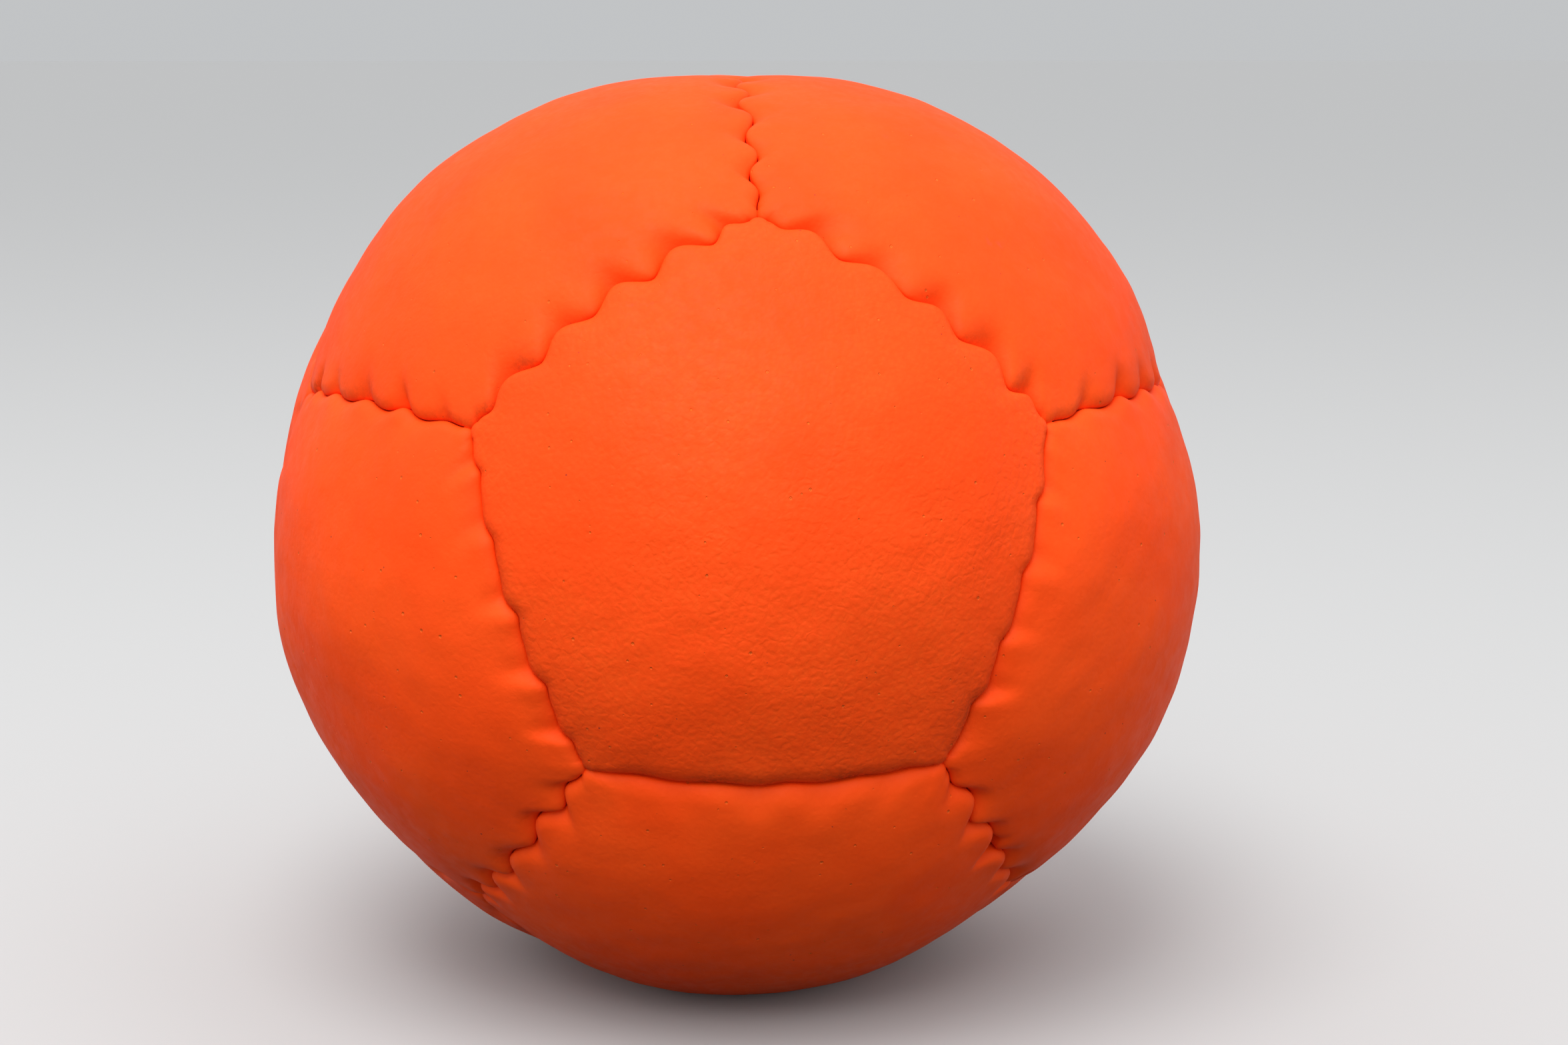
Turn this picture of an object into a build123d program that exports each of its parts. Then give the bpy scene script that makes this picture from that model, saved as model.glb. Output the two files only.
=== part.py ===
from build123d import *
from math import acos, atan, cos, degrees, pi, sin, sqrt, tan
import os

# Soft stitched ball: twelve domed pentagon panels with turned-in edges, sewn edge to edge round a fill.
# It stands on a corner of the pattern, with the front panel facing -Y.
# Sizes are in millimetres, and each size that can be set by itself is written once, here.

crown_radius = 32.3  # ball centre to the crown of a panel
dome_radius = 26.3  # curve of a panel between its seams
leather = 1.2  # thickness of the cover
seam_gap = 0.2  # between the turned-in edges of two panels
lip_radius = 1.6  # roll of the cover into the seam
lip_spare = 0.15  # roll that is cut away at the lobes
corner_radius = 2.3  # rounding of a panel's five corners
corner_run = 0.2  # straight piece between a corner and the first stitch
wave_height = 0.35  # swing of the seam to each side
stitch_pairs = 4  # lobes along one side of a panel
wave_depth = 3.0  # how far the lobes reach below the seam
stitch_margin = 0.6  # cover left above and below a stitch hole
thread_radius = 0.35
thread_bend = 0.45  # bend of the thread where it leaves a hole
thread_clearance = 0.1  # round the thread in its hole and beside the edges
knot_radius = 0.8
fill_clearance = 0.2  # between the fill and what surrounds it
flat_depth = 0.6  # how far the ball settles where it stands
overcut = 1.0  # how far a cutting shape reaches past what it cuts

# Angles of the regular twelve-panel layout, seen from the ball centre.
side_angle = atan((sqrt(5) - 1) / 2)  # panel middle to the middle of a side
corner_angle = acos(sqrt((5 + 2 * sqrt(5)) / 15))  # panel middle to a corner
seam_angle = atan(tan(pi / 5) * sin(side_angle))  # seam middle to a corner
steep = pi / 2 - corner_angle  # tilt of the three panels round each pole
shallow = 2 * side_angle - steep  # tilt of the six panels between them
fifth = 2 * pi / 5

# Where the dome meets the seam, and what hangs from there.
dome_centre = crown_radius - dome_radius
rim_radius = dome_centre * cos(side_angle) + sqrt(dome_radius**2 - (dome_centre * sin(side_angle)) ** 2)
hole_radius = thread_radius + thread_clearance
wave_level = rim_radius - wave_depth
stitch_level = wave_level - seam_gap - stitch_margin - hole_radius
flange_level = stitch_level - hole_radius - stitch_margin
flange_inset = seam_gap / 2 + leather
blank_inset = seam_gap / 2 - wave_height - lip_spare
thread_offset = flange_inset + thread_clearance + thread_radius
knot_offset = flange_inset + thread_clearance + knot_radius
low_height = flange_level * cos(side_angle)
high_height = crown_radius + overcut
ball_height = dome_centre * cos(corner_angle) + dome_radius - flat_depth

# The fill ends under the turned-in edges, and behind each panel it keeps clear of the thread.
fill_height = low_height - fill_clearance
fill_inset = knot_offset + knot_radius + fill_clearance

# Waves along one side of a panel: the straight runs at its ends leave room for the rounded corners.
half_side = rim_radius * tan(seam_angle)
wave_reach = half_side - corner_radius * tan(pi / 5) - corner_run
half_waves = 2 * stitch_pairs + 1
wave_step = 2 * wave_reach / half_waves
wave_radius = (wave_step**2 / 4 + wave_height**2) / (2 * wave_height)


def inset_face(height, inset):
    """Plain pentagon at this height whose sides stand off the seams by the inset."""
    with BuildSketch(Plane.XY.offset(height)) as face:
        reach = height * tan(side_angle) - inset / cos(side_angle)
        RegularPolygon(reach, 5, major_radius=False)
    return face.sketch


def panel_plane(turn, tilt):
    """Plane of a panel, turned from the front to the right and tilted up, a corner to the nearer pole."""
    ahead = Vector(sin(turn), -cos(turn), 0)
    upward = Vector(0, 0, 1) if tilt > 0 else Vector(0, 0, -1)
    normal = ahead * cos(tilt) + Vector(0, 0, sin(tilt))
    corner = upward * cos(tilt) - ahead * abs(sin(tilt))
    return Plane((0, 0, ball_height), x_dir=corner, z_dir=normal)


def seam_plane(panel_from, panel_to):
    """Plane of the seam between two panels, with Z out through its middle and X from one to the other."""
    near = panel_planes[panel_from].z_dir
    far = panel_planes[panel_to].z_dir
    return Plane((0, 0, ball_height), x_dir=far - near, z_dir=far + near)


def touching(panel_from, panel_to):
    """Two panels share a seam when their normals are twice the side angle apart."""
    between = panel_planes[panel_from].z_dir.dot(panel_planes[panel_to].z_dir)
    return abs(between - cos(2 * side_angle)) < 0.1


def neighbours(name):
    return [other for other in panel_planes if touching(name, other)]


# Where the twelve panels stand.
sixth = pi / 3
panel_planes = {
    "panel_front": panel_plane(0, shallow),
    "panel_right": panel_plane(sixth, -shallow),
    "panel_left": panel_plane(-sixth, -shallow),
    "panel_upper_right": panel_plane(sixth, steep),
    "panel_upper_left": panel_plane(-sixth, steep),
    "panel_bottom_front": panel_plane(0, -steep),
    "panel_rear": panel_plane(3 * sixth, -shallow),
    "panel_right_rear": panel_plane(2 * sixth, shallow),
    "panel_left_rear": panel_plane(-2 * sixth, shallow),
    "panel_top_rear": panel_plane(3 * sixth, steep),
    "panel_bottom_right": panel_plane(2 * sixth, -steep),
    "panel_bottom_left": panel_plane(-2 * sixth, -steep),
}

# Stitches along a seam, where the wave crosses its middle, apart from the crossing next to each corner.
stitch_places = [(count - stitch_pairs) * wave_step for count in range(1, half_waves - 1)]

# The seam over the side of a panel that faces +X: Z out through its middle, X towards the next panel.
seam_out = Vector(sin(side_angle), 0, cos(side_angle))
seam_across = Vector(cos(side_angle), 0, -sin(side_angle))
side = Plane((0, 0, 0), x_dir=seam_across, z_dir=seam_out)

# What is cut off one side: all past the middle of the seam below, and all past a wavy line above,
# so that the lobes of a panel lie over the next one and fit its notches.
with BuildPart() as trimming:
    lobe_line = wave_height - seam_gap / 2
    middle_line = -seam_gap / 2
    notch_line = -wave_height - seam_gap / 2
    outside_line = wave_height + lip_spare + overcut
    with BuildSketch(side):
        with Locations((middle_line, 0)):
            Rectangle(outside_line, 2 * crown_radius, align=(Align.MIN, Align.CENTER))
    extrude(amount=wave_level)
    with BuildSketch(side.offset(wave_level - seam_gap)):
        with BuildLine():
            Line((lobe_line, -crown_radius), (lobe_line, -wave_reach))
            for count in range(half_waves):
                start = (lobe_line if count % 2 == 0 else notch_line, -wave_reach + count * wave_step)
                middle = (middle_line, -wave_reach + (count + 0.5) * wave_step)
                end = (notch_line if count % 2 == 0 else lobe_line, -wave_reach + (count + 1) * wave_step)
                bend = wave_radius if count % 2 == 0 else -wave_radius
                RadiusArc(start, middle, -bend)
                RadiusArc(middle, end, bend)
            Line((notch_line, wave_reach), (notch_line, crown_radius))
            Line((notch_line, crown_radius), (outside_line, crown_radius))
            Line((outside_line, crown_radius), (outside_line, -crown_radius))
            Line((outside_line, -crown_radius), (lobe_line, -crown_radius))
        make_face()
    extrude(amount=crown_radius)

# Pocket behind a panel, open towards the ball centre.
with BuildPart() as pocket:
    add(inset_face(low_height - overcut, flange_inset))
    add(inset_face(high_height, flange_inset))
    loft(ruled=True)
    with Locations((0, 0, dome_centre)):
        Sphere(dome_radius - leather, mode=Mode.INTERSECT)

# One cover panel round +Z, with its lip rolled into the seam and stitch holes in its turned-in edges.
with BuildPart() as panel:
    add(inset_face(low_height, blank_inset))
    add(inset_face(high_height, blank_inset))
    loft(ruled=True)
    fillet(panel.edges().filter_by(Plane.XY, reverse=True), corner_radius)
    with Locations((0, 0, dome_centre)):
        Sphere(dome_radius, mode=Mode.INTERSECT)
    fillet(panel.faces().filter_by(GeomType.SPHERE).edges(), lip_radius)
    add(pocket.part, mode=Mode.SUBTRACT)
    holes = [side.from_local_coords((0, place, stitch_level)) for place in stitch_places]
    with PolarLocations(0, 5, start_angle=degrees(fifth / 2)):
        add(trimming.part, mode=Mode.SUBTRACT)
        with Locations(*[Plane(hole, z_dir=side.x_dir) for hole in holes]):
            Cylinder(hole_radius, 2 * (flange_inset + overcut), mode=Mode.SUBTRACT)

os.makedirs("parts", exist_ok=True)
for name, plane in panel_planes.items():
    with BuildPart(plane) as cover:
        add(panel.part)
        split(bisect_by=Plane.XY)
    cover.part.label = name
    export_step(cover.part, f"parts/{name}.step")

# Thread of one seam: to and fro through its holes, behind an edge between two holes, knotted at both ends.
stitches = []
for count, place in enumerate(stitch_places):
    offset = -thread_offset if count % 2 == 0 else thread_offset
    stitches.append(Vector(offset, place, stitch_level))
    stitches.append(Vector(-offset, place, stitch_level))
last_knot = Vector(knot_offset, stitch_places[-1], stitch_level)
first_knot = last_knot.rotate(Axis.Z, 180)
with BuildPart() as seam_thread:
    with BuildLine() as path:
        FilletPolyline(first_knot, *stitches[1:-1], last_knot, radius=thread_bend)
    with BuildSketch(Plane(path.line @ 0, z_dir=path.line % 0)):
        Circle(thread_radius)
    sweep()
    with Locations(Plane(first_knot, z_dir=path.line % 0), Plane(last_knot, z_dir=path.line % 1)):
        Sphere(knot_radius)

# A cup is a middle panel with its five neighbours. Its seams are sewn first, from the inside.
for name, middle in (("front_cup_thread", "panel_front"), ("rear_cup_thread", "panel_rear")):
    cup = [middle, *neighbours(middle)]
    pairs = [(one, other) for count, one in enumerate(cup) for other in cup[count:] if touching(one, other)]
    seams = [seam_plane(one, other) for one, other in pairs]
    with BuildPart() as thread:
        with Locations(*seams):
            add(seam_thread.part)
    thread.part.label = name
    export_step(thread.part, f"parts/{name}.step")

# The closing thread joins the two cups along the zigzag belt between them.
belt = [
    seam_plane(one, other)
    for one in neighbours("panel_front")
    for other in neighbours("panel_rear")
    if touching(one, other)
]
with BuildPart() as closing_thread:
    with Locations(*belt):
        add(seam_thread.part)
closing_thread.part.label = "closing_thread"
export_step(closing_thread.part, "parts/closing_thread.step")

# Fill behind one panel, clear of its thread.
with BuildPart() as lobe:
    add(inset_face(fill_height - overcut, fill_inset))
    add(inset_face(high_height, fill_inset))
    loft(ruled=True)
    with Locations((0, 0, dome_centre)):
        Sphere(dome_radius - leather - fill_clearance, mode=Mode.INTERSECT)

with BuildPart() as fill:
    with Locations((0, 0, ball_height)):
        Sphere(2 * crown_radius)
    for plane in panel_planes.values():
        split(bisect_by=plane.offset(fill_height), keep=Keep.BOTTOM)
    with Locations(*panel_planes.values()):
        add(lobe.part)
fill.part.label = "fill"
export_step(fill.part, "parts/fill.step")
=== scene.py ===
import math

import bpy
import numpy as np
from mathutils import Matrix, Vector, kdtree


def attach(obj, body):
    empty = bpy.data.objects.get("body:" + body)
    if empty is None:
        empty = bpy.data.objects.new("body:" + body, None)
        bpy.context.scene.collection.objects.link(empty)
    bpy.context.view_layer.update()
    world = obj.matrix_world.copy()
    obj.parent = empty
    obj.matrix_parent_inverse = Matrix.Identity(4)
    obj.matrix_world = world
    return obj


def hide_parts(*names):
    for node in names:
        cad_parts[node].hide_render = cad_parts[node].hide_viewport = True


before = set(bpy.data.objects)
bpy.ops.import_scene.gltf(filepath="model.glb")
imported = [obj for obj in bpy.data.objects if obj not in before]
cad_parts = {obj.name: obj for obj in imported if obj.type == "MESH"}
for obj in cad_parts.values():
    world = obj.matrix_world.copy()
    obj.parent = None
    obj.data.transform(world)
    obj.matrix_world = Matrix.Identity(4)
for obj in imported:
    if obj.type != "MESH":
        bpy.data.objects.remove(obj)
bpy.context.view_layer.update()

# Soft stitched ball: twelve cover panels, their thread and the fill, dressed for the render.
# Sizes are in metres. Those that the part's source also has are repeated here with the same values,
# apart from the seam gap and the corners of the cover, which are drawn tighter.
MM = 0.001

CROWN_RADIUS = 32.3 * MM  # ball centre to the crown of a panel
DOME_RADIUS = 26.3 * MM  # curve of a panel between its seams
LEATHER = 1.2 * MM  # thickness of the cover
SEAM_GAP = 0.05 * MM  # between the edges of two panels, drawn tight
CUT_RADIUS = 2.3 * MM  # rounding of a panel's five corners, as it is cut
CORNER_RADIUS = 1.0 * MM  # the same corners, drawn tight
CORNER_CLOSE = 0.18 * MM  # how far the corners of three panels are drawn together
CORNER_RUN = 0.2 * MM  # straight piece between a corner and the first stitch
STITCH_PAIRS = 4  # lobes along one side of a panel
FLANGE_DEPTH = 5.3 * MM  # turned-in edge, below the seam
WAVE_DEPTH = 3.0 * MM  # how far the lobes reach below the seam
STITCH_DEPTH = 4.25 * MM  # stitch holes, below the seam
THREAD_RADIUS = 0.35 * MM
THREAD_REACH = 1.75 * MM  # thread behind an edge, from the middle of the seam
KNOT_RADIUS = 0.8 * MM
FLAT_DEPTH = 0.6 * MM  # how far the ball settles where it stands
FILL_CLEARANCE = 0.2 * MM  # between the fill and the turned-in edges

# Angles of the regular twelve-panel layout, seen from the ball centre.
SIDE_ANGLE = math.atan((math.sqrt(5) - 1) / 2)  # panel middle to the middle of a side
CORNER_ANGLE = math.acos(math.sqrt((5 + 2 * math.sqrt(5)) / 15))  # panel middle to a corner
SEAM_ANGLE = math.atan(math.tan(math.pi / 5) * math.sin(SIDE_ANGLE))  # seam middle to a corner
STEEP = math.pi / 2 - CORNER_ANGLE  # tilt of the three panels round each pole
SHALLOW = 2 * SIDE_ANGLE - STEEP  # tilt of the six panels between them
FIFTH = 2 * math.pi / 5
SIXTH = math.pi / 3

DOME_CENTRE = CROWN_RADIUS - DOME_RADIUS
RIM_RADIUS = DOME_CENTRE * math.cos(SIDE_ANGLE) + math.sqrt(
    DOME_RADIUS**2 - (DOME_CENTRE * math.sin(SIDE_ANGLE)) ** 2
)
BALL_HEIGHT = DOME_CENTRE * math.cos(CORNER_ANGLE) + DOME_RADIUS - FLAT_DEPTH
BALL_CENTRE = np.array([0, 0, BALL_HEIGHT])

# A panel's plain outline, on a plane through the middles of its five seams.
OUTLINE_HEIGHT = RIM_RADIUS * math.cos(SIDE_ANGLE)
OUTLINE_REACH = RIM_RADIUS * math.sin(SIDE_ANGLE)
HALF_SIDE = RIM_RADIUS * math.tan(SEAM_ANGLE)
STRAIGHT = HALF_SIDE - CORNER_RADIUS * math.tan(math.pi / 5)
WAVE_REACH = HALF_SIDE - CUT_RADIUS * math.tan(math.pi / 5) - CORNER_RUN
HALF_WAVES = 2 * STITCH_PAIRS + 1
WAVE_STEP = 2 * WAVE_REACH / HALF_WAVES

# Panels by how far they turn from the front to the right, and tilt up.
PANELS = {
    "panel_front": (0, SHALLOW),
    "panel_right": (SIXTH, -SHALLOW),
    "panel_left": (-SIXTH, -SHALLOW),
    "panel_upper_right": (SIXTH, STEEP),
    "panel_upper_left": (-SIXTH, STEEP),
    "panel_bottom_front": (0, -STEEP),
    "panel_rear": (3 * SIXTH, -SHALLOW),
    "panel_right_rear": (2 * SIXTH, SHALLOW),
    "panel_left_rear": (-2 * SIXTH, SHALLOW),
    "panel_top_rear": (3 * SIXTH, STEEP),
    "panel_bottom_right": (2 * SIXTH, -STEEP),
    "panel_bottom_left": (-2 * SIXTH, -STEEP),
}


def unit(vectors):
    """The same vectors with a length of 1."""
    return vectors / np.linalg.norm(vectors, axis=-1, keepdims=True)


def smoothstep(low, high, values):
    """0 up to low and 1 from high on, with a smooth rise between them."""
    share = np.clip((values - low) / (high - low), 0, 1)
    return share * share * (3 - 2 * share)


def panel_axes(name):
    """Rows X, Y and Z of a panel: X towards a corner, Z out through its crown."""
    turn, tilt = PANELS[name]
    ahead = np.array([math.sin(turn), -math.cos(turn), 0])
    upward = np.array([0, 0, math.copysign(1, tilt)])
    normal = ahead * math.cos(tilt) + np.array([0, 0, math.sin(tilt)])
    corner = upward * math.cos(tilt) - ahead * abs(math.sin(tilt))
    return np.array([corner, np.cross(normal, corner), normal])


AXES = {name: panel_axes(name) for name in PANELS}
TOUCH_TOLERANCE = 0.1  # on the cosine between the normals of two panels


def touching(one, other):
    """Two panels share a seam when their normals are twice the side angle apart."""
    between = AXES[one][2] @ AXES[other][2]
    return abs(between - math.cos(2 * SIDE_ANGLE)) < TOUCH_TOLERANCE


def seam(swing, over, folds, hollows, reach, bulge, roll, lean=0.0):
    """How a seam is drawn, with its lengths in millimetres.

    swing: the crevice to each side.
    over: how far the first panel lies over the second, from -1 to 1.
    folds: how narrow the tucks of the first and of the second panel are.
    hollows: how deep each of the two dips beside the other one's lobes.
    reach: how far in from the seam they dip.
    bulge: how much broader the lobes of the first panel are, or, below 0, those of the second.
    roll: how full the edge that lies on top is.
    lean: how much steeper one flank of each fold is.
    """
    return {
        "swing": swing * MM,
        "over": over,
        "folds": folds,
        "hollows": [depth * MM for depth in hollows],
        "reach": reach * MM,
        "bulge": bulge,
        "roll": roll,
        "lean": lean,
    }


SEEN_SEAMS = {
    ("panel_front", "panel_upper_right"): seam(
        swing=0.44, over=0.45, folds=(1.0, 1.4), hollows=(0.08, 0.75),
        reach=1.6, bulge=0.4, roll=0.8,
    ),
    ("panel_front", "panel_upper_left"): seam(
        swing=0.5, over=0.45, folds=(1.0, 1.4), hollows=(0.08, 0.85),
        reach=1.6, bulge=0.4, roll=0.8,
    ),
    ("panel_front", "panel_right"): seam(
        swing=0.24, over=0.65, folds=(1.0, 1.6), hollows=(0.05, 0.36),
        reach=1.7, bulge=0.5, roll=1.6, lean=0.7,
    ),
    ("panel_front", "panel_left"): seam(
        swing=0.26, over=0.6, folds=(1.0, 1.6), hollows=(0.05, 0.4),
        reach=1.7, bulge=0.5, roll=1.6, lean=-0.7,
    ),
    ("panel_front", "panel_bottom_front"): seam(
        swing=0.1, over=0.75, folds=(1.0, 1.6), hollows=(0.05, 0.25),
        reach=2.0, bulge=0.2, roll=2.6,
    ),
    ("panel_right", "panel_upper_right"): seam(
        swing=0.2, over=-0.3, folds=(1.0, 2.4), hollows=(0.15, 0.6),
        reach=1.5, bulge=-0.5, roll=1.2,
    ),
    ("panel_left", "panel_upper_left"): seam(
        swing=0.2, over=-0.3, folds=(1.0, 2.4), hollows=(0.15, 0.6),
        reach=1.5, bulge=-0.5, roll=1.2,
    ),
    ("panel_right", "panel_bottom_front"): seam(
        swing=0.46, over=-0.1, folds=(1.2, 1.3), hollows=(0.35, 0.42),
        reach=1.1, bulge=-0.6, roll=1.1,
    ),
    ("panel_left", "panel_bottom_front"): seam(
        swing=0.5, over=-0.1, folds=(1.2, 1.3), hollows=(0.35, 0.42),
        reach=1.1, bulge=-0.6, roll=1.1,
    ),
    ("panel_upper_right", "panel_upper_left"): seam(
        swing=0.36, over=0.25, folds=(1.4, 1.4), hollows=(0.3, 0.4),
        reach=1.5, bulge=0.0, roll=0.7,
    ),
}
SEAM_SEED = 7


def all_seams():
    """Every seam by its two panels, those behind drawn like the ones that the photo shows."""
    chance = np.random.default_rng(SEAM_SEED)
    seams = {}
    for count, one in enumerate(PANELS):
        for other in list(PANELS)[count + 1 :]:
            if touching(one, other):
                unseen = seam(
                    swing=chance.uniform(0.15, 0.5),
                    over=chance.uniform(-0.5, 0.5),
                    folds=chance.uniform(1.0, 2.2, 2),
                    hollows=chance.uniform(0.3, 0.65, 2),
                    reach=chance.uniform(1.6, 2.8),
                    bulge=chance.uniform(-0.5, 0.5),
                    roll=chance.uniform(0.9, 1.6),
                )
                seams[one, other] = SEEN_SEAMS.get((one, other), unseen)
                seams[one, other]["drift"] = chance.uniform(-1, 1, 6)
    return seams


SEAMS = all_seams()

# A stitch that has opened a little: where along its seam, half its length, and how far it gapes.
OPEN_SEAM = ("panel_right", "panel_bottom_front")
OPEN_PLACE = -1.2 * MM
OPEN_LENGTH = 0.7 * MM
OPEN_GAP = 0.8 * MM

# How unevenly a seam is sewn: the amount, how fast it comes and goes, and how far its start varies.
SLOW_SHIFT, QUICK_SHIFT = (0.55, 2.1, 3), (0.35, 5.3, 3)  # of the lobes along the seam
SLOW_SIZE, QUICK_SIZE = (0.2, 3.7, 4), (0.15, 8.9, 4)  # of the lobes and hollows
TAPER_RUN = 2.4 * MM  # over which the lobes die away towards a corner
TIP_SOFTNESS = 0.02  # keeps the tips between broad lobes from being sharp


def sway(kind, share, start, factor=1.0):
    """Unevenness of this kind at these shares of a seam."""
    amount, rate, spread = kind
    return amount * factor * np.sin(rate * share + spread * start)


def seam_side(name, other, along):
    """What a seam does to one panel at these places along it.

    swing: how far the crevice swings to the other panel.
    high: how much the panel lies on top, from 0 to 1.
    taper: 1 along the seam and 0 at its ends.
    hollow, reach: how deep the panel dips, and how far in from the seam.
    roll: how full its edge is where it lies on top.
    """
    first = (name, other) in SEAMS
    pair = (name, other) if first else (other, name)
    style = SEAMS[pair]
    side, sign = (0, 1) if first else (1, -1)
    place = sign * along
    share = place / WAVE_REACH
    drift = style["drift"]

    phase = math.pi * (place + WAVE_REACH) / WAVE_STEP
    phase = phase + sway(SLOW_SHIFT, share, drift[1], drift[0])
    phase = phase + sway(QUICK_SHIFT, share, drift[3], drift[2])
    phase = phase + style["lean"] * np.cos(phase)
    strength = 1 + sway(SLOW_SIZE, share, drift[1]) + sway(QUICK_SIZE, share, drift[4])
    taper = smoothstep(STRAIGHT, STRAIGHT - TAPER_RUN, np.abs(along))

    bulge = style["bulge"]
    arches = np.cos(phase / 2) if bulge > 0 else np.sin(phase / 2)
    broad = math.copysign(1, bulge) * (2 * np.sqrt(arches**2 + TIP_SOFTNESS) - 1)
    lobe = sign * np.clip((1 - abs(bulge)) * np.cos(phase) + abs(bulge) * broad, -1, 1)
    over = sign * style["over"]
    high = np.clip(lobe * (1 - abs(over)) + over, -1, 1) * 0.5 + 0.5
    fold = ((1 - lobe) / 2) ** style["folds"][side]
    gap = OPEN_GAP if pair == OPEN_SEAM else 0
    gape = np.exp(-(((place - OPEN_PLACE) / OPEN_LENGTH) ** 2)) * gap
    return {
        "swing": style["swing"] * strength * lobe * taper - gape,
        "high": high,
        "taper": taper,
        "hollow": style["hollows"][side] * strength * fold * taper,
        "reach": np.full(len(along), style["reach"]),
        "roll": np.full(len(along), style["roll"]),
    }


# Detail of the panel meshes.
SIDE_COLUMNS = 96
CORNER_COLUMNS = 12
CROWN_ROWS = 34
LIP_ROWS = 24
LIP_REACH = 4.2 * MM  # from the seam to where the rows of the crown start


def outline(name):
    """Columns round a panel: places on its plain outline, and what each seam does there."""
    flat, across, parts = [], [], []
    others = [other for other in PANELS if other != name and touching(name, other)]
    side_places = np.linspace(-STRAIGHT, STRAIGHT, SIDE_COLUMNS)
    arc_centre = OUTLINE_REACH - CORNER_RADIUS
    for count in range(5):
        angle = FIFTH * (count + 0.5)
        out = np.array([math.cos(angle), math.sin(angle)])
        along = np.array([-out[1], out[0]])
        tilt = np.array([*(out * math.cos(SIDE_ANGLE)), -math.sin(SIDE_ANGLE)])
        toward = np.array([*(out * math.sin(2 * SIDE_ANGLE)), math.cos(2 * SIDE_ANGLE)])
        toward = toward @ AXES[name]
        other = others[np.argmax([AXES[near][2] @ toward for near in others])]
        flat.append(out * OUTLINE_REACH + side_places[:, None] * along)
        across.append(np.repeat(tilt[None], SIDE_COLUMNS, 0))
        parts.append(seam_side(name, other, side_places))

        turns = angle + FIFTH * (np.arange(CORNER_COLUMNS) + 1) / (CORNER_COLUMNS + 1)
        corner = np.array([math.cos(angle + FIFTH / 2), math.sin(angle + FIFTH / 2)])
        corner = corner * arc_centre / math.cos(FIFTH / 2)
        flat.append(corner + CORNER_RADIUS * np.stack([np.cos(turns), np.sin(turns)], 1))
        tilts = [np.cos(turns) * math.cos(SIDE_ANGLE), np.sin(turns) * math.cos(SIDE_ANGLE)]
        across.append(np.stack([*tilts, np.full(CORNER_COLUMNS, -math.sin(SIDE_ANGLE))], 1))
        still = np.zeros(CORNER_COLUMNS)
        corner_part = {
            "swing": CORNER_CLOSE * np.sin((turns - angle) / FIFTH * math.pi),
            "high": still,
            "taper": still,
            "hollow": still,
            "reach": still + MM,
            "roll": still + 1,
        }
        parts.append(corner_part)
    columns = {key: np.concatenate([part[key] for part in parts]) for key in parts[0]}
    columns["flat"] = np.concatenate(flat)
    columns["across"] = np.concatenate(across)
    return columns


def dome(facing, radius):
    """Distance from the ball centre to a panel's dome of this radius, along directions whose cosine
    to the panel's normal is given."""
    ahead = DOME_CENTRE * facing
    return ahead + np.sqrt(radius**2 - DOME_CENTRE**2 + ahead**2)


# How far and how broadly the cover rolls down into the seam: underneath, on top, at the corners.
LIP_DROP = (0.5 * MM, 0.42 * MM, 0.5 * MM)
LIP_WIDTH = (1.3 * MM, 0.8 * MM, 0.9 * MM)
SWING_REACH = 2.4 * MM  # how far in from the seam its swing is felt

# Rows of the turned-in edge below the seam, and how far its first row is below the lip at least.
EDGE_DEPTHS = (0.4 * MM, 1.0 * MM, 2.0 * MM, WAVE_DEPTH, FLANGE_DEPTH)
EDGE_STEP = 0.05 * MM
# Rows up its inside, by how far in and how deep, and rows behind the dome, by their share of it.
INSIDE_EDGE = ((LEATHER, FLANGE_DEPTH), (LEATHER, WAVE_DEPTH), (1.3 * LEATHER, 2.6 * MM))
INSIDE_SHARES = (0.8, 0.55, 0.3, 0.1)
INSIDE_DEPTH = 1.6 * LEATHER


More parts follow.
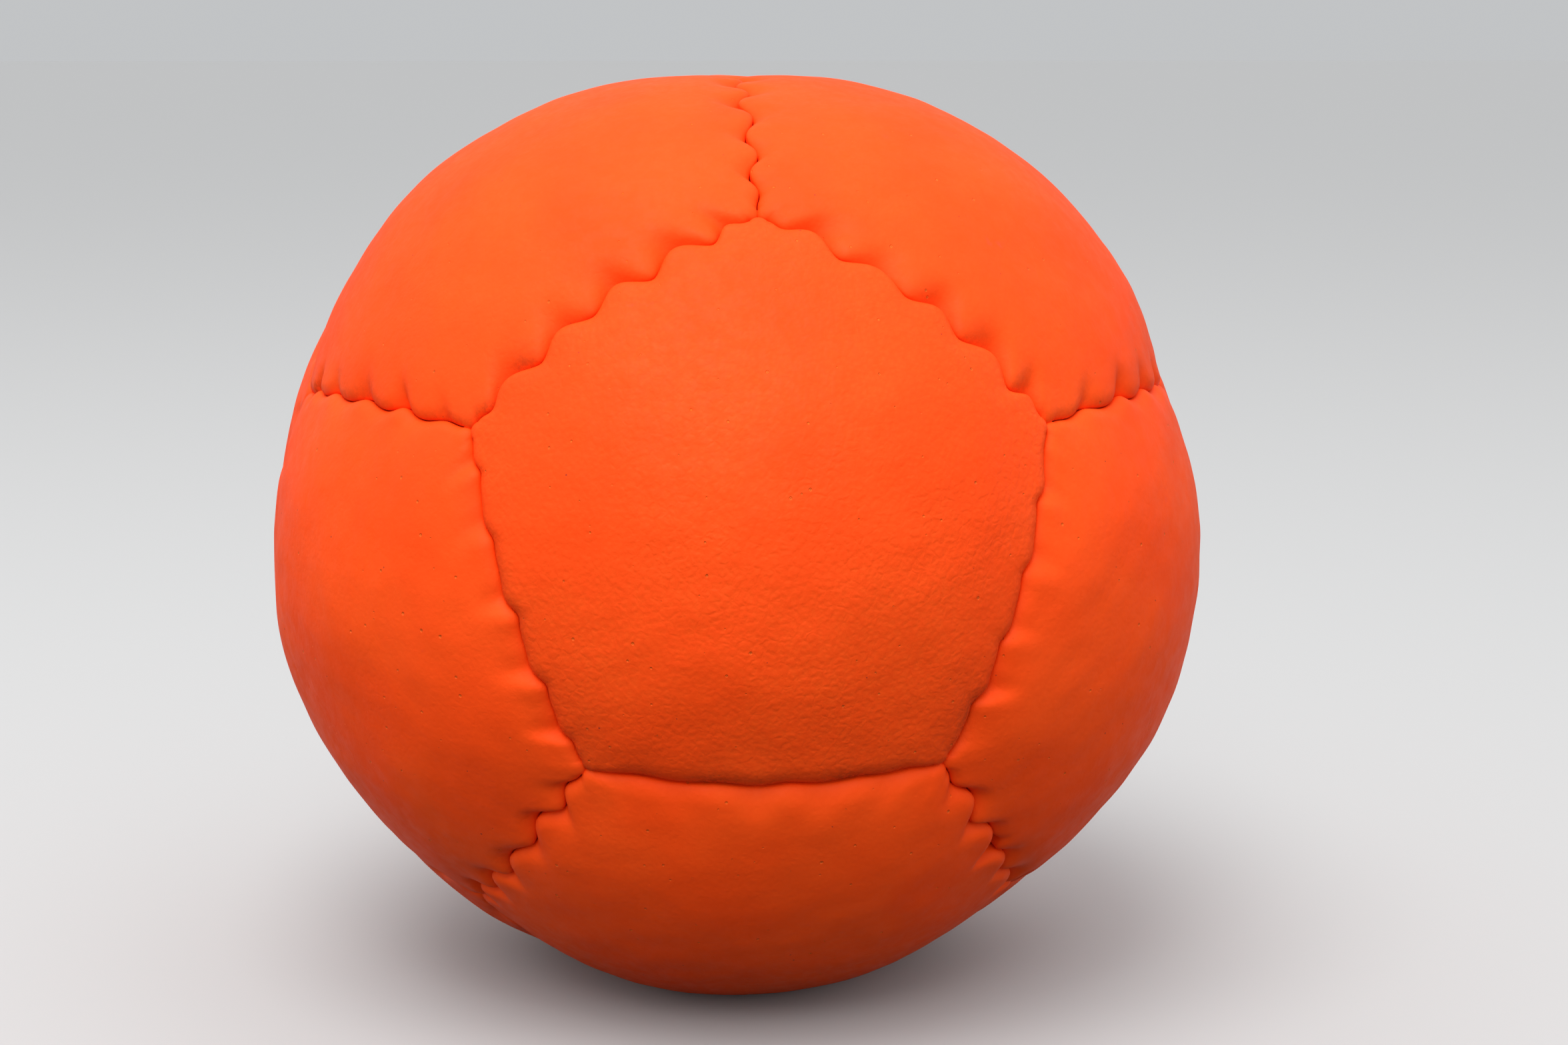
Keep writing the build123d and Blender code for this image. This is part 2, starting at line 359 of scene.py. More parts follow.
def panel_rows(name):
    """Rows of points from a panel's crown over its lip, down the seam and back along the inside,
    and how far each row is from the seam, below 0 inside it."""
    seams = outline(name)

    def lip(under, on_top, corner):
        """A size of the lip all round, from its values underneath, on top and at the corners."""
        side = under + (on_top * seams["roll"] - under) * seams["high"]
        return corner + (side - corner) * seams["taper"]

    def dip(inward):
        """How far the panel dips this far in from the seam."""
        return seams["hollow"] * np.exp(-((inward / seams["reach"]) ** 2))

    def points(inward, depth):
        """Points this far in from the seam, lowered by depth from the dome."""
        share = 1 - inward / OUTLINE_REACH
        heights = np.full((len(depth), 1), OUTLINE_HEIGHT)
        direction = unit(np.append(seams["flat"] * share, heights, 1))
        follow = math.exp(-((inward / SWING_REACH) ** 2))
        place = direction * (dome(direction[:, 2], DOME_RADIUS) - depth)[:, None]
        return place + seams["across"] * ((seams["swing"] - SEAM_GAP / 2) * follow)[:, None]

    drop, width = lip(*LIP_DROP), lip(*LIP_WIDTH)
    rows, seam_distance = [], []
    crown_steps = np.linspace(0, 1, CROWN_ROWS + 1)[1:]
    for inward in OUTLINE_REACH - (OUTLINE_REACH - LIP_REACH) * crown_steps:
        rows.append(points(inward, dip(inward)))
        seam_distance.append(inward)
    for inward in LIP_REACH * np.linspace(1, 0, LIP_ROWS + 1)[1:] ** 2:
        roll = np.clip(1 - inward / width, 0, 1)
        rows.append(points(inward, dip(inward) + drop * (1 - np.sqrt(1 - roll**2))))
        seam_distance.append(inward)
    edge = drop + dip(0)
    for depth in EDGE_DEPTHS:
        fade = 1 - smoothstep(0, WAVE_DEPTH, depth)
        place = points(0, np.maximum(edge + EDGE_STEP, edge * fade + depth))
        rows.append(place - seams["across"] * (seams["swing"] * (1 - fade))[:, None])
        seam_distance.append(-depth)
    for inward, depth in INSIDE_EDGE:
        rows.append(points(inward, np.full(len(edge), depth)))
        seam_distance.append(-FLANGE_DEPTH)
    for share in INSIDE_SHARES:
        rows.append(points(OUTLINE_REACH * (1 - share), np.full(len(edge), INSIDE_DEPTH)))
        seam_distance.append(-FLANGE_DEPTH)
    return np.array(rows), np.array(seam_distance)


def undulation(points, seed, shortest, longest, waves=28):
    """Soft seeded unevenness of about -1 to 1, with waves between these lengths."""
    chance = np.random.default_rng(seed)
    ways = unit(chance.normal(size=(waves, 3)))
    ways = ways * (2 * math.pi / chance.uniform(shortest, longest, (waves, 1)))
    starts = chance.uniform(0, 2 * math.pi, waves)
    return np.sin(points @ ways.T + starts).sum(-1) / math.sqrt(waves)


def make_mesh(name, points, faces, attributes=None):
    """A smooth mesh object from points, faces, and values for each point."""
    mesh = bpy.data.meshes.new(name)
    mesh.from_pydata(points, [], faces)
    mesh.polygons.foreach_set("use_smooth", np.ones(len(mesh.polygons), bool))
    for key, values in (attributes or {}).items():
        values = np.asarray(values, np.float32)
        mesh.attributes.new(key, "FLOAT", "POINT").data.foreach_set("value", values)
    mesh.update()
    made = bpy.data.objects.new(name, mesh)
    bpy.context.scene.collection.objects.link(made)
    return made


def ring_faces(rows, columns, first):
    """Quads between closed rings of points, where the first ring starts at this point."""
    ring = np.arange(columns)
    after = np.roll(ring, -1)
    faces = []
    for row in range(rows - 1):
        near, far = first + row * columns, first + (row + 1) * columns
        faces += np.stack([near + ring, far + ring, far + after, near + after], 1).tolist()
    return faces


def settle(points):
    """Flattens what would lie below the floor."""
    return np.append(points[:, :2], np.maximum(points[:, 2:], 0), 1)


# Unevenness of a panel, away from its seams: how high, and its shortest and longest waves.
UNEVEN, UNEVEN_LENGTHS = 0.08 * MM, (7 * MM, 16 * MM)
CREASE, CREASE_LENGTHS = 0.02 * MM, (1.8 * MM, 4.5 * MM)
CALM_REACH = 2.5 * MM  # from the seam to where it is all felt
PANEL_SEED, CREASE_SEED = 100, 50  # the second is added to the first

# Dirt and painted shade beside the seams of a panel, on the side that faces down, and full painted
# shade deep inside the seams.
SEAM_DIRT_AND_SHADE = {
    "panel_front": 0.85,
    "panel_bottom_front": 0.3,
    "panel_right": 0.2,
    "panel_upper_left": 0.45,
    "panel_upper_right": 0.3,
}
OTHER_SEAMS = 0.1
DIRT_AND_SHADE_REACH = 1.1 * MM
DIRT_AND_SHADE_FACING = (0.15, -0.5)  # against the height of the panel's normal: from none to all
# Depths below the seam over which the painted shade inside it rises from none to full.
INSIDE_SHADE_DEPTHS = (-0.5 * MM, -1.2 * MM)
GRIME_AND_SHADE_SEED, GRIME_AND_SHADE_LENGTHS = 3, (3 * MM, 9 * MM)


def cover_panel(name, seed):
    """One panel, a little uneven, with dirt and painted shade along its seams, and painted shade
    deep inside them.
    """
    rows, seam_distance = panel_rows(name)
    count, columns = rows.shape[:2]
    crown = np.array([[0, 0, CROWN_RADIUS]])
    inside = np.array([[0, 0, CROWN_RADIUS - INSIDE_DEPTH]])
    local = np.concatenate([crown, rows.reshape(-1, 3), inside])
    distance = np.repeat(seam_distance, columns)
    distance = np.concatenate([[OUTLINE_REACH], distance, [-FLANGE_DEPTH]])

    calm = smoothstep(0, CALM_REACH, distance)
    uneven = UNEVEN * calm * undulation(local, seed, *UNEVEN_LENGTHS)
    uneven += CREASE * calm * undulation(local, seed + CREASE_SEED, *CREASE_LENGTHS)
    turned = (local + unit(local) * uneven[:, None]) @ AXES[name]
    world = turned + BALL_CENTRE

    # Darker along the seams on the side of the panel that faces down, in patches: partly dirt,
    # partly painted shade where the seam's shade falls.
    grime_and_shade = undulation(world, GRIME_AND_SHADE_SEED, *GRIME_AND_SHADE_LENGTHS) * 0.5 + 0.5
    facing_down = smoothstep(*DIRT_AND_SHADE_FACING, unit(turned)[:, 2] - AXES[name][2][2])
    dirt_and_painted_shade = np.exp(-np.maximum(distance, 0) / DIRT_AND_SHADE_REACH) * grime_and_shade * facing_down
    dirt_and_painted_shade = dirt_and_painted_shade * SEAM_DIRT_AND_SHADE.get(name, OTHER_SEAMS)
    # Painted shade, full, deep inside the seams.
    dirt_and_painted_shade = np.maximum(dirt_and_painted_shade, smoothstep(*INSIDE_SHADE_DEPTHS, distance))

    faces = [[0, 1 + i, 1 + (i + 1) % columns] for i in range(columns)]
    faces += ring_faces(count, columns, 1)
    last = 1 + (count - 1) * columns
    end = 1 + count * columns
    faces += [[last + i, end, last + (i + 1) % columns] for i in range(columns)]
    piece = make_mesh(f"cover_{name}", settle(world), faces, {"dirt_and_painted_shade": dirt_and_painted_shade})
    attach(piece, "root")
    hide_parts(name)
    return piece


def add_node(tree, kind, inputs=None, **settings):
    """A shader node with these settings. An input is a value, or the socket linked to it."""
    made = tree.nodes.new("ShaderNode" + kind)
    for key, value in settings.items():
        setattr(made, key, value)
    for key, value in (inputs or {}).items():
        if isinstance(value, bpy.types.NodeSocket):
            tree.links.new(value, made.inputs[key])
        else:
            made.inputs[key].default_value = value
    return made


def new_material(name):
    """A material with an emptied node tree, its shader, and object coordinates in millimetres."""
    material = bpy.data.materials.new(name)
    material.use_nodes = True
    tree = material.node_tree
    tree.nodes.clear()
    shader = add_node(tree, "BsdfPrincipled")
    surface = add_node(tree, "OutputMaterial")
    tree.links.new(shader.outputs["BSDF"], surface.inputs["Surface"])
    place = add_node(tree, "TexCoord").outputs["Object"]
    scaled = add_node(tree, "VectorMath", {0: place, "Scale": 1 / MM}, operation="SCALE")
    return material, tree, shader, scaled.outputs["Vector"]


def add_bump(tree, shader, height, strength, distance):
    """Gives a shader a bump of this height, in units of the distance."""
    bump = add_node(
        tree, "Bump", {"Strength": strength, "Distance": distance, "Height": height}
    ).outputs["Normal"]
    tree.links.new(bump, shader.inputs["Normal"])


def combine(tree, operation, one, other):
    """Two values by an operation of the Math node."""
    return add_node(tree, "Math", {0: one, 1: other}, operation=operation).outputs[0]


def times(tree, one, other):
    """The product of two values."""
    return combine(tree, "MULTIPLY", one, other)


def ranged(tree, value, start, end, low=0.0, high=1.0):
    """A value that runs smoothly from low at the start to high at the end."""
    return add_node(
        tree,
        "MapRange",
        {"Value": value, "From Min": start, "From Max": end, "To Min": low, "To Max": high},
        interpolation_type="SMOOTHSTEP",
    ).outputs["Result"]


def mixed(tree, share, base, top):
    """The base colour with the top colour over it by this share. These are the node's sockets for
    colours, which have the same names as those for other kinds of value."""
    return add_node(tree, "Mix", {0: share, 6: base, 7: top}, data_type="RGBA").outputs[2]


def noise(tree, place, scale, detail=3.0, roughness=0.5):
    """Soft noise with about this many lumps to a millimetre."""
    inputs = {"Vector": place, "Scale": scale, "Detail": detail, "Roughness": roughness}
    return add_node(tree, "TexNoise", inputs).outputs["Fac"]


def shifted(tree, place, shift):
    """The same place, moved by this much on each axis."""
    return add_node(
        tree, "VectorMath", {0: place, 1: (shift, shift, shift)}, operation="ADD"
    ).outputs["Vector"]


SMALLEST_SPOT = 0.25  # share of the largest


def spots(tree, place, spacing, radius, soft):
    """1 in small round spots of up to this radius, 0 between them."""
    cells = add_node(tree, "TexVoronoi", {"Vector": place, "Scale": 1 / spacing})
    chance = add_node(tree, "SeparateColor", {0: cells.outputs["Color"]}).outputs[0]
    size = combine(tree, "ADD", times(tree, chance, 1 - SMALLEST_SPOT), SMALLEST_SPOT)
    distance = combine(tree, "DIVIDE", cells.outputs["Distance"], size)
    return ranged(tree, distance, (radius + soft) / spacing, radius / spacing)


ORANGE = (1.0, 0.077, 0.004, 1)
PALE_ORANGE = (1.0, 0.094, 0.007, 1)
DEEP_ORANGE = (0.97, 0.061, 0.002, 1)
# Painted highlight round each pinhole, and painted shade in its floor.
PIT_RIM_HIGHLIGHT = (1.0, 0.2, 0.02, 1)
PIT_FLOOR_SHADE = (0.35, 0.03, 0.005, 1)
SPECK = (0.16, 0.02, 0.015, 1)
SMUDGE = (0.75, 0.065, 0.06, 1)
# Colour of the dirt and painted shade along the seams, and of the painted shade inside them.
GRIME_AND_SHADE = (0.2, 0.03, 0.006, 1)

# How much of each colour shows, the painted shade in the grain's valleys and the painted highlights
# and shade of the pinholes among them. The first two also go with the strength of the grain.
MOTTLE_SHARE, VALLEY_SHADE_SHARE = 0.16, 0.3
ORANGE_SHARE, SMUDGE_SHARE = 0.55, 0.4
PIT_RIM_HIGHLIGHT_SHARE, PIT_FLOOR_SHADE_SHARE, SPECK_SHARE = 0.5, 0.7, 0.7

# How high each texture of the leather stands, in units of the bump's distance.
# Those of the first line also go with the strength of the grain.
WRINKLE_HEIGHT, PEBBLE_HEIGHT, NETWORK_HEIGHT = 0.3, 0.35, 0.22
FINE_HEIGHT, SWELL_HEIGHT, PIT_DEPTH = 0.2, 0.6, 0.9
LEATHER_BUMP = 0.06 * MM
LEATHER_SPECULAR = 0.14
GRIME_AND_SHADE_ROUGHNESS = 0.2  # what the grime and painted shade add
PIT_SPACING = 1.15  # these two are in millimetres, as the spots are
SPECK_SHIFT = 17.3
NETWORK_WARP = (0.7, 0.7, 0.7)


def leather_grain(tree, place):
    """Wrinkles, a network of fine creases that is stronger in some places, and pebbles."""
    wrinkles = add_node(
        tree,
        "TexNoise",
        {"Vector": place, "Scale": 1.1, "Detail": 3.0, "Roughness": 0.6, "Distortion": 0.6},
        noise_type="RIDGED_MULTIFRACTAL",
    ).outputs["Fac"]
    drift = add_node(tree, "TexNoise", {"Vector": place, "Scale": 1.6, "Detail": 2.0})
    warped = add_node(
        tree,
        "VectorMath",
        {0: drift.outputs["Color"], 1: NETWORK_WARP, 2: place},
        operation="MULTIPLY_ADD",
    ).outputs["Vector"]
    cells = add_node(
        tree, "TexVoronoi", {"Vector": warped, "Scale": 1.5}, feature="DISTANCE_TO_EDGE"
    ).outputs["Distance"]
    where = noise(tree, place, scale=0.16, detail=2.0)
    strength = ranged(tree, where, start=0.35, end=0.65, low=0.45)
    network = times(tree, ranged(tree, cells, start=0.0, end=0.3), strength)
    pebble = add_node(
        tree, "TexVoronoi", {"Vector": place, "Scale": 2.8, "Smoothness": 0.6}, feature="SMOOTH_F1"
    ).outputs["Distance"]
    return wrinkles, network, pebble


def leather(name, grain):
    """Fluorescent synthetic leather with grain of this strength, painted shade in its valleys,
    pinholes with painted highlights round them and painted shade in them, specks, smudges, and the
    grime and painted shade along the seams."""
    material, tree, shader, place = new_material(name)

    patches = noise(tree, place, scale=0.11)
    mottle = noise(tree, place, scale=1.1, detail=4.0, roughness=0.6)
    colour = mixed(tree, ranged(tree, patches, start=0.3, end=0.7), DEEP_ORANGE, PALE_ORANGE)
    colour = mixed(tree, ORANGE_SHARE, colour, ORANGE)
    mottling = ranged(tree, mottle, start=0.42, end=0.62, high=MOTTLE_SHARE * grain)
    colour = mixed(tree, mottling, colour, DEEP_ORANGE)
    wrinkles, network, pebble = leather_grain(tree, place)
    # Painted shade in the valleys of the grain.
    valley_shade = ranged(tree, pebble, start=0.25, end=0.6, high=VALLEY_SHADE_SHARE * grain)
    colour = mixed(tree, valley_shade, colour, DEEP_ORANGE)

    smudged = noise(tree, place, scale=0.19, detail=5.0, roughness=0.65)
    smudged = ranged(tree, smudged, start=0.66, end=0.78)
    rubbed = ranged(tree, noise(tree, place, scale=1.9), start=0.4, end=0.7, high=SMUDGE_SHARE)
    colour = mixed(tree, times(tree, smudged, rubbed), colour, SMUDGE)
    pit_edges = spots(tree, place, PIT_SPACING, radius=0.07, soft=0.06)
    pit_floor_shade = spots(tree, place, PIT_SPACING, radius=0.03, soft=0.04)
    specks = spots(tree, shifted(tree, place, SPECK_SHIFT), spacing=1.8, radius=0.05, soft=0.04)
    # Painted highlight round each pinhole and painted shade in it.
    colour = mixed(tree, times(tree, pit_edges, PIT_RIM_HIGHLIGHT_SHARE), colour, PIT_RIM_HIGHLIGHT)
    colour = mixed(tree, times(tree, pit_floor_shade, PIT_FLOOR_SHADE_SHARE), colour, PIT_FLOOR_SHADE)
    colour = mixed(tree, times(tree, specks, SPECK_SHARE), colour, SPECK)
    # Dirt and painted shade along the seams, and painted shade inside them.
    dirt_and_painted_shade = add_node(tree, "Attribute", attribute_name="dirt_and_painted_shade").outputs["Fac"]
    uneven = noise(tree, place, scale=2.4, detail=5.0, roughness=0.7)
    soiled_and_shaded = times(tree, dirt_and_painted_shade, ranged(tree, uneven, start=0.38, end=0.62, low=0.25))
    colour = mixed(tree, soiled_and_shaded, colour, GRIME_AND_SHADE)
    tree.links.new(colour, shader.inputs["Base Color"])

    rough = ranged(tree, mottle, start=0.3, end=0.7, low=0.56, high=0.68)
    rough = combine(tree, "ADD", rough, times(tree, soiled_and_shaded, GRIME_AND_SHADE_ROUGHNESS))
    tree.links.new(rough, shader.inputs["Roughness"])
    shader.inputs["Specular IOR Level"].default_value = LEATHER_SPECULAR

    fine = noise(tree, place, scale=5.0, roughness=0.6)
    swells = noise(tree, place, scale=0.6, detail=2.0)
    height = times(tree, wrinkles, WRINKLE_HEIGHT * grain)
    for texture, amount in (
        (pebble, PEBBLE_HEIGHT * grain),
        (network, NETWORK_HEIGHT * grain),
        (fine, FINE_HEIGHT),
        (swells, SWELL_HEIGHT),
    ):
        height = combine(tree, "ADD", height, times(tree, texture, amount))
    height = combine(tree, "SUBTRACT", height, times(tree, pit_edges, PIT_DEPTH))
    add_bump(tree, shader, height, strength=1.0, distance=LEATHER_BUMP)
    return material


FRONT_GRAIN, PLAIN_GRAIN = 1.0, 0.4


def cover():
    """All panels. The grain shows most on the front one."""
    front, plain = leather("leather_front", FRONT_GRAIN), leather("leather", PLAIN_GRAIN)
    for count, name in enumerate(PANELS):
        piece = cover_panel(name, PANEL_SEED + count)
        piece.data.materials.append(front if name == "panel_front" else plain)


YARN_DARK, YARN_LIGHT = (0.5, 0.05, 0.012, 1), (0.85, 0.13, 0.03, 1)


def yarn():
    """Twisted polyester thread with fine fibres."""
    material, tree, shader, place = new_material("yarn")
    fibres = noise(tree, place, scale=9.0, detail=4.0, roughness=0.7)
    colour = mixed(tree, ranged(tree, fibres, start=0.35, end=0.65), YARN_DARK, YARN_LIGHT)
    tree.links.new(colour, shader.inputs["Base Color"])
    shader.inputs["Roughness"].default_value = 0.7
    add_bump(tree, shader, fibres, strength=0.6, distance=0.04 * MM)
    return material


# Thread of one seam, in the seam's axes: X across, Y along, Z out through its middle.
STRAND_RADIUS = 0.2 * MM
STRAND_SIDES = 6
TWIST_PITCH = 1.7 * MM
THREAD_STEP = 0.22 * MM
CORNER_CUT, CORNER_CUTS = 0.22, 3  # share of a run that a cut takes off, and how many cuts
KNOT_ROWS, KNOT_SIDES = 9, 12
KNOT_POLE = 0.02  # angle that a knot's first and last row leave open
KNOT_LUMPS = (0.9, 0.1)  # mean radius, and how much it varies
KNOT_LIMITS = (0.7, 1.0)
KNOT_SEED, KNOT_LENGTHS, KNOT_WAVES = 5, (0.7, 1.2), 12


def thread_route():
    """The thread goes to and fro through the holes, and behind an edge between two holes."""
    places = [(count - STITCH_PAIRS) * WAVE_STEP for count in range(1, HALF_WAVES - 1)]
    level = RIM_RADIUS - STITCH_DEPTH
    route = []
    for count, place in enumerate(places):
        start = -THREAD_REACH if count % 2 == 0 else THREAD_REACH
        route += [(start, place, level), (-start, place, level)]
    return np.array(route)


def smooth_route(route):
    """The route with its corners cut round, in even steps, and how far along it each step is."""
    for _ in range(CORNER_CUTS):
        near = route[:-1] * (1 - CORNER_CUT) + route[1:] * CORNER_CUT
        far = route[:-1] * CORNER_CUT + route[1:] * (1 - CORNER_CUT)
        inner = np.stack([near, far], 1).reshape(-1, 3)
        route = np.concatenate([route[:1], inner, route[-1:]])
    run = np.concatenate([[0], np.cumsum(np.linalg.norm(np.diff(route, axis=0), axis=1))])
    steps = np.linspace(0, run[-1], int(run[-1] / THREAD_STEP))
    return np.stack([np.interp(steps, run, route[:, axis]) for axis in range(3)], 1), steps


def knot():
    """Points of a lumpy knot round the origin."""
    turns = np.linspace(KNOT_POLE, math.pi - KNOT_POLE, KNOT_ROWS)
    rounds = np.arange(KNOT_SIDES) * math.pi / (KNOT_SIDES / 2)
    ball = np.stack(
        [
            np.outer(np.sin(turns), np.cos(rounds)),
            np.outer(np.sin(turns), np.sin(rounds)),
            np.outer(np.cos(turns), np.ones(KNOT_SIDES)),
        ],
        -1,
    ).reshape(-1, 3)
    mean, vary = KNOT_LUMPS
    lumps = mean + vary * undulation(ball, KNOT_SEED, *KNOT_LENGTHS, KNOT_WAVES)
    return KNOT_RADIUS * ball * np.clip(lumps, *KNOT_LIMITS)[:, None]


def seam_thread():
    """Points and faces of two twisted strands with a knot at each end."""
    line, run = smooth_route(thread_route())
    ahead = unit(np.gradient(line, axis=0))
    beside = np.cross(ahead, [0, 0, 1.0])
    above = np.cross(beside, ahead)
    corners = np.arange(STRAND_SIDES) * 2 * math.pi / STRAND_SIDES
    ring = beside[:, None] * np.cos(corners)[:, None] + above[:, None] * np.sin(corners)[:, None]
    points, faces = [], []
    for strand in range(2):
        turn = run / TWIST_PITCH * 2 * math.pi + strand * math.pi
        centre = line + (THREAD_RADIUS - STRAND_RADIUS) * (
            beside * np.cos(turn)[:, None] + above * np.sin(turn)[:, None]
        )
        first = sum(len(part) for part in points)
        points.append((centre[:, None] + STRAND_RADIUS * ring).reshape(-1, 3))
        faces += ring_faces(len(line), STRAND_SIDES, first)
    for end in (line[0], line[-1]):
        first = sum(len(part) for part in points)
        points.append(end + knot())
        faces += ring_faces(KNOT_ROWS, KNOT_SIDES, first)
    return np.concatenate(points), faces


def thread_piece(name, pairs, shape, material):
    """One thread: the same shape in each of its seams."""
    base, base_faces = shape
    points, faces = [], []
    for count, (one, other) in enumerate(pairs):
        out = unit(AXES[one][2] + AXES[other][2])
        across = unit(AXES[other][2] - AXES[one][2])
        axes = np.array([across, np.cross(out, across), out])
        points.append(base @ axes + BALL_CENTRE)
        faces += (np.array(base_faces) + count * len(base)).tolist()
    piece = make_mesh(f"{name}_yarn", np.concatenate(points), faces)
    piece.data.materials.append(material)
    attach(piece, "root")
    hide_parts(name)


def threads():
    """A thread for each cup of six panels, and one for the belt of seams between the cups."""
    cup = ["panel_front", *[name for name in PANELS if touching("panel_front", name)]]
    inside = {pair: sum(name in cup for name in pair) for pair in SEAMS}
    shape, material = seam_thread(), yarn()
    for name, count in (("front_cup_thread", 2), ("rear_cup_thread", 0), ("closing_thread", 1)):
        pairs = [pair for pair in SEAMS if inside[pair] == count]
        thread_piece(name, pairs, shape, material)


CRUMB_DARK, CRUMB_LIGHT = (0.03, 0.028, 0.026, 1), (0.075, 0.068, 0.06, 1)


def granules():
    """Packed dark rubber crumb."""
    material, tree, shader, place = new_material("granules")
    shades = add_node(tree, "TexVoronoi", {"Vector": place, "Scale": 0.55})
    tone = add_node(tree, "SeparateColor", {0: shades.outputs["Color"]}).outputs[0]
    colour = mixed(tree, tone, CRUMB_DARK, CRUMB_LIGHT)
    tree.links.new(colour, shader.inputs["Base Color"])
    shader.inputs["Roughness"].default_value = 0.8
    rough = noise(tree, place, scale=3.0, detail=4.0, roughness=0.65)
    add_bump(tree, shader, rough, strength=0.6, distance=0.1 * MM)
    return material


# Fill: packed crumb that ends under the turned-in edges and bulges behind each panel.
FILL_DETAIL = 7  # how often the sphere it starts from is divided
FILL_SLACK = 1.4 * MM  # between the cover and the bulges
FILL_INSET, BULGE_RUN = 3.2 * MM, 1.6 * MM  # where a bulge starts beside the seam, and how soft
FILL_SETTLE = 0.5 * MM  # room for the granules
GRANULE, GRANULE_HEIGHT, GRANULE_COUNT = 1.1 * MM, 0.45 * MM, 5200
SCATTER_SEED, SCATTER = 11, 0.012


def fill_reach(sphere):
    """How far the fill goes out along these directions."""
    normals = np.array([AXES[name][2] for name in PANELS])
    facing = np.sort(sphere @ normals.T, axis=1)
    ahead, beside = facing[:, -1], facing[:, -2]
    core = ((RIM_RADIUS - FLANGE_DEPTH) * math.cos(SIDE_ANGLE) - FILL_CLEARANCE) / ahead
    lobe = dome(ahead, DOME_RADIUS - LEATHER - FILL_SLACK)
    from_seam = lobe * (ahead - beside) / (2 * math.sin(SIDE_ANGLE))
    bulge = smoothstep(FILL_INSET, FILL_INSET + BULGE_RUN, from_seam)
    return core + (lobe - core) * bulge - FILL_SETTLE


def granule_distance(sphere):
    """Distance from these points on a unit sphere to the middle of the nearest granule."""
    turns = np.arange(GRANULE_COUNT) * math.pi * (3 - math.sqrt(5))
    heights = 1 - 2 * (np.arange(GRANULE_COUNT) + 0.5) / GRANULE_COUNT
    rings = np.sqrt(1 - heights**2)
    middles = np.stack([rings * np.cos(turns), rings * np.sin(turns), heights], 1)
    scatter = np.random.default_rng(SCATTER_SEED).normal(scale=SCATTER, size=middles.shape)
    tree = kdtree.KDTree(GRANULE_COUNT)
    for count, middle in enumerate(unit(middles + scatter)):
        tree.insert(middle, count)
    tree.balance()
    return np.array([tree.find(point)[2] for point in sphere])


def fill_piece():
    """The fill as one closed surface of packed granules."""
    bpy.ops.mesh.primitive_ico_sphere_add(subdivisions=FILL_DETAIL, radius=1)
    piece = bpy.context.active_object
    piece.name = "fill_granules"
    mesh = piece.data
    sphere = np.zeros(len(mesh.vertices) * 3)
    mesh.vertices.foreach_get("co", sphere)
    sphere = unit(sphere.reshape(-1, 3))

    reach = fill_reach(sphere)
    bump = np.sqrt(np.clip(1 - (granule_distance(sphere) * reach / GRANULE) ** 2, 0, 1))
    points = sphere * (reach + GRANULE_HEIGHT * (bump - 0.5))[:, None] + BALL_CENTRE
    mesh.vertices.foreach_set("co", points.ravel())
    mesh.polygons.foreach_set("use_smooth", np.ones(len(mesh.polygons), bool))
    mesh.update()
    piece.data.materials.append(granules())
    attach(piece, "root")
    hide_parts("fill")


# Camera, from the photo's panel corners, in pixels of its 2352 by 1568 frame.
FRAME_WIDTH, FRAME_HEIGHT = 2352, 1568
BALL_PIXEL = (1102, 792)
FOCAL_PIXELS = 4300
SENSOR_WIDTH = 36
CAMERA_DISTANCE = 199 * MM
CAMERA_AZIMUTH = math.radians(-4.0)
CAMERA_ELEVATION = math.radians(9.7)
CLIP_START = 0.01


def camera():
    """A camera where the photo's was, aimed at the ball and shifted to the photo's framing."""
    data = bpy.data.cameras.new("camera")
    data.sensor_width = SENSOR_WIDTH
    data.lens = FOCAL_PIXELS * SENSOR_WIDTH / FRAME_WIDTH
    data.shift_x = (FRAME_WIDTH / 2 - BALL_PIXEL[0]) / FRAME_WIDTH
    data.shift_y = (BALL_PIXEL[1] - FRAME_HEIGHT / 2) / FRAME_WIDTH
    data.clip_start = CLIP_START
    made = bpy.data.objects.new("camera", data)
    level = math.cos(CAMERA_ELEVATION)
    aside, ahead = math.sin(CAMERA_AZIMUTH), math.cos(CAMERA_AZIMUTH)
    back = Vector((aside * level, -ahead * level, math.sin(CAMERA_ELEVATION)))
    made.location = Vector(BALL_CENTRE) + back * CAMERA_DISTANCE
    made.rotation_euler = (-back).to_track_quat("-Z", "Y").to_euler()
    bpy.context.scene.collection.objects.link(made)
    bpy.context.scene.camera = made


FLOOR_SEEN = (0.5, 0.495, 0.49, 1)
FLOOR_BOUNCE = (0.06, 0.06, 0.06, 1)
FLOOR_REACH = 8.0
SKY_COLOUR = (0.96, 0.98, 1.0, 1)
SKY_SEEN, SKY_LIGHT = 0.56, 1.12  # strength where it is seen, and as it lights the object


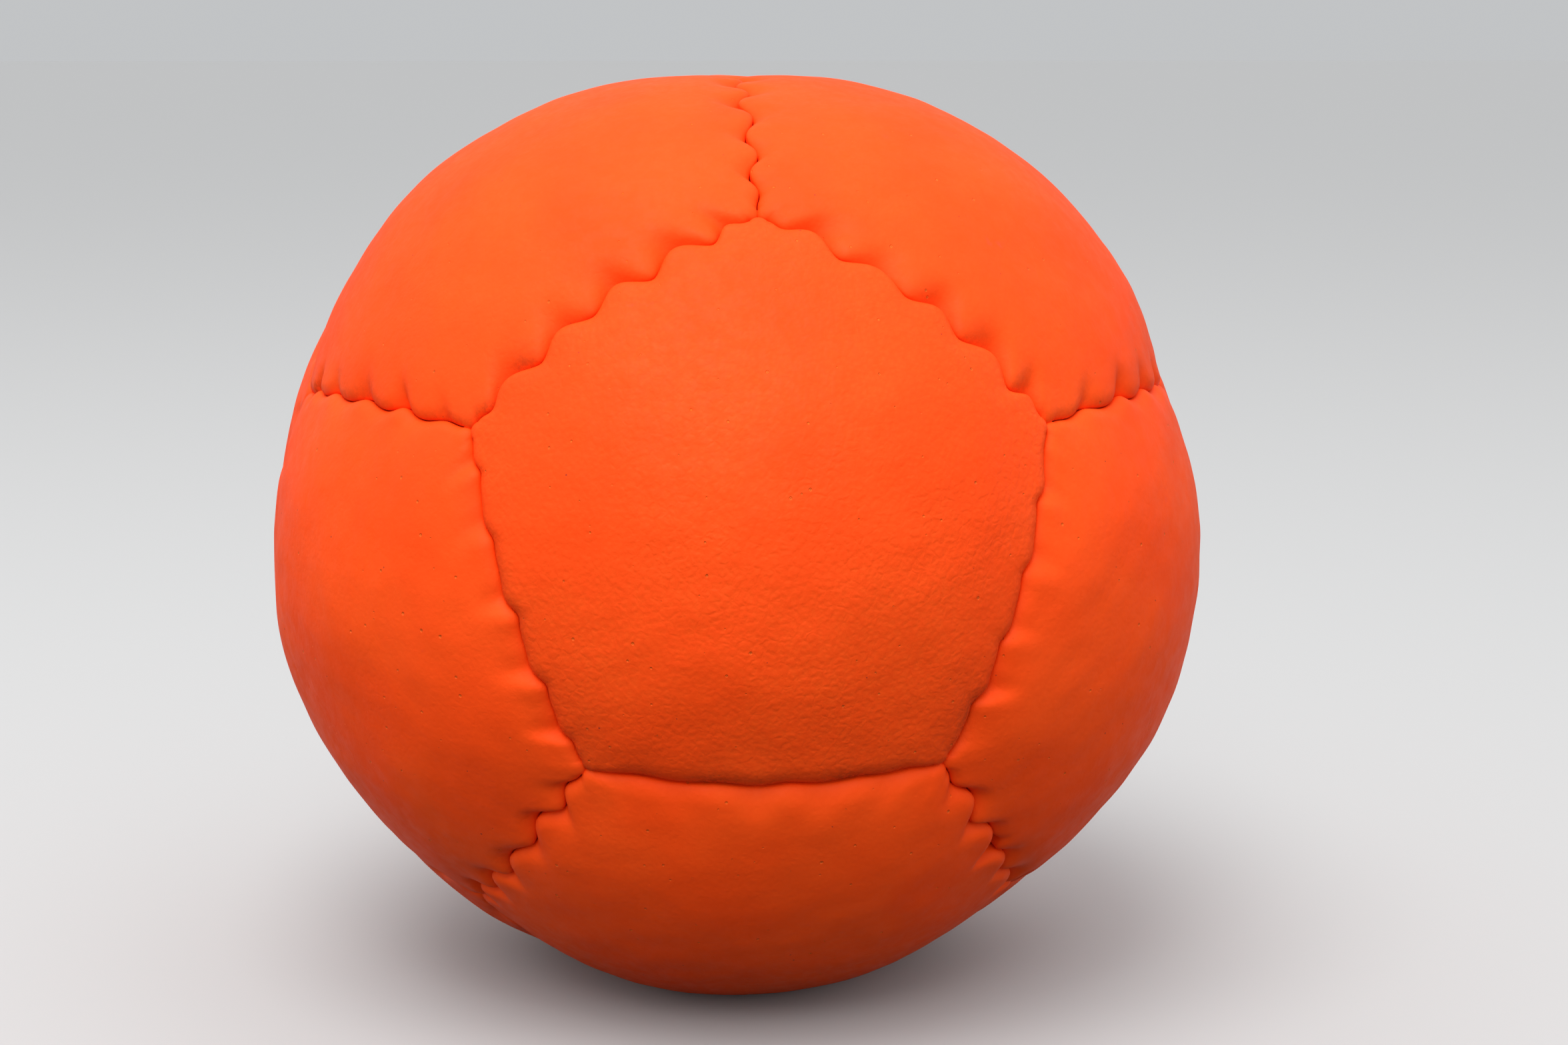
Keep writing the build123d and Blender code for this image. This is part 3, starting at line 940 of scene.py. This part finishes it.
def seen_rays(tree):
    """1 for the rays that show the background, 0 for those that light the object."""
    path = add_node(tree, "LightPath").outputs
    seen = combine(tree, "ADD", path["Is Camera Ray"], path["Is Glossy Ray"])
    return combine(tree, "ADD", seen, path["Is Transmission Ray"])


def level_floor():
    """Pale where it is seen, and dark in the light that it sends back to the object."""
    corners = [(-FLOOR_REACH, -FLOOR_REACH, 0), (FLOOR_REACH, -FLOOR_REACH, 0)]
    corners += [(FLOOR_REACH, FLOOR_REACH, 0), (-FLOOR_REACH, FLOOR_REACH, 0)]
    floor = make_mesh("floor", corners, [(0, 1, 2, 3)])
    material, tree, shader, _ = new_material("floor")
    colour = mixed(tree, seen_rays(tree), FLOOR_BOUNCE, FLOOR_SEEN)
    tree.links.new(colour, shader.inputs["Base Color"])
    shader.inputs["Roughness"].default_value = 0.9
    shader.inputs["Specular IOR Level"].default_value = 0.1
    floor.data.materials.append(material)


def softbox(name, place, size, power):
    """A round soft lamp that is aimed at the ball."""
    data = bpy.data.lights.new(name, "AREA")
    data.shape, data.size, data.energy = "DISK", size, power
    made = bpy.data.objects.new(name, data)
    made.location = place
    aim = Vector(BALL_CENTRE) - Vector(place)
    made.rotation_euler = aim.to_track_quat("-Z", "Y").to_euler()
    bpy.context.scene.collection.objects.link(made)


def sky():
    """An even sky that lights the object more strongly than it shows behind it."""
    world = bpy.data.worlds.new("studio")
    world.use_nodes = True
    tree = world.node_tree
    background = tree.nodes["Background"]
    background.inputs["Color"].default_value = SKY_COLOUR
    strength = times(tree, seen_rays(tree), SKY_SEEN - SKY_LIGHT)
    strength = combine(tree, "ADD", strength, SKY_LIGHT)
    tree.links.new(strength, background.inputs["Strength"])
    bpy.context.scene.world = world


def studio():
    """A level floor under an even sky and two soft lamps."""
    level_floor()
    softbox("key", place=(-0.1, -0.2, 0.55), size=0.36, power=1.7)
    softbox("front_light", place=(-0.1, -0.5, 0.46), size=0.3, power=1.1)
    sky()
    bpy.context.scene.view_settings.view_transform = "Standard"


cover()
threads()
fill_piece()
camera()
studio()
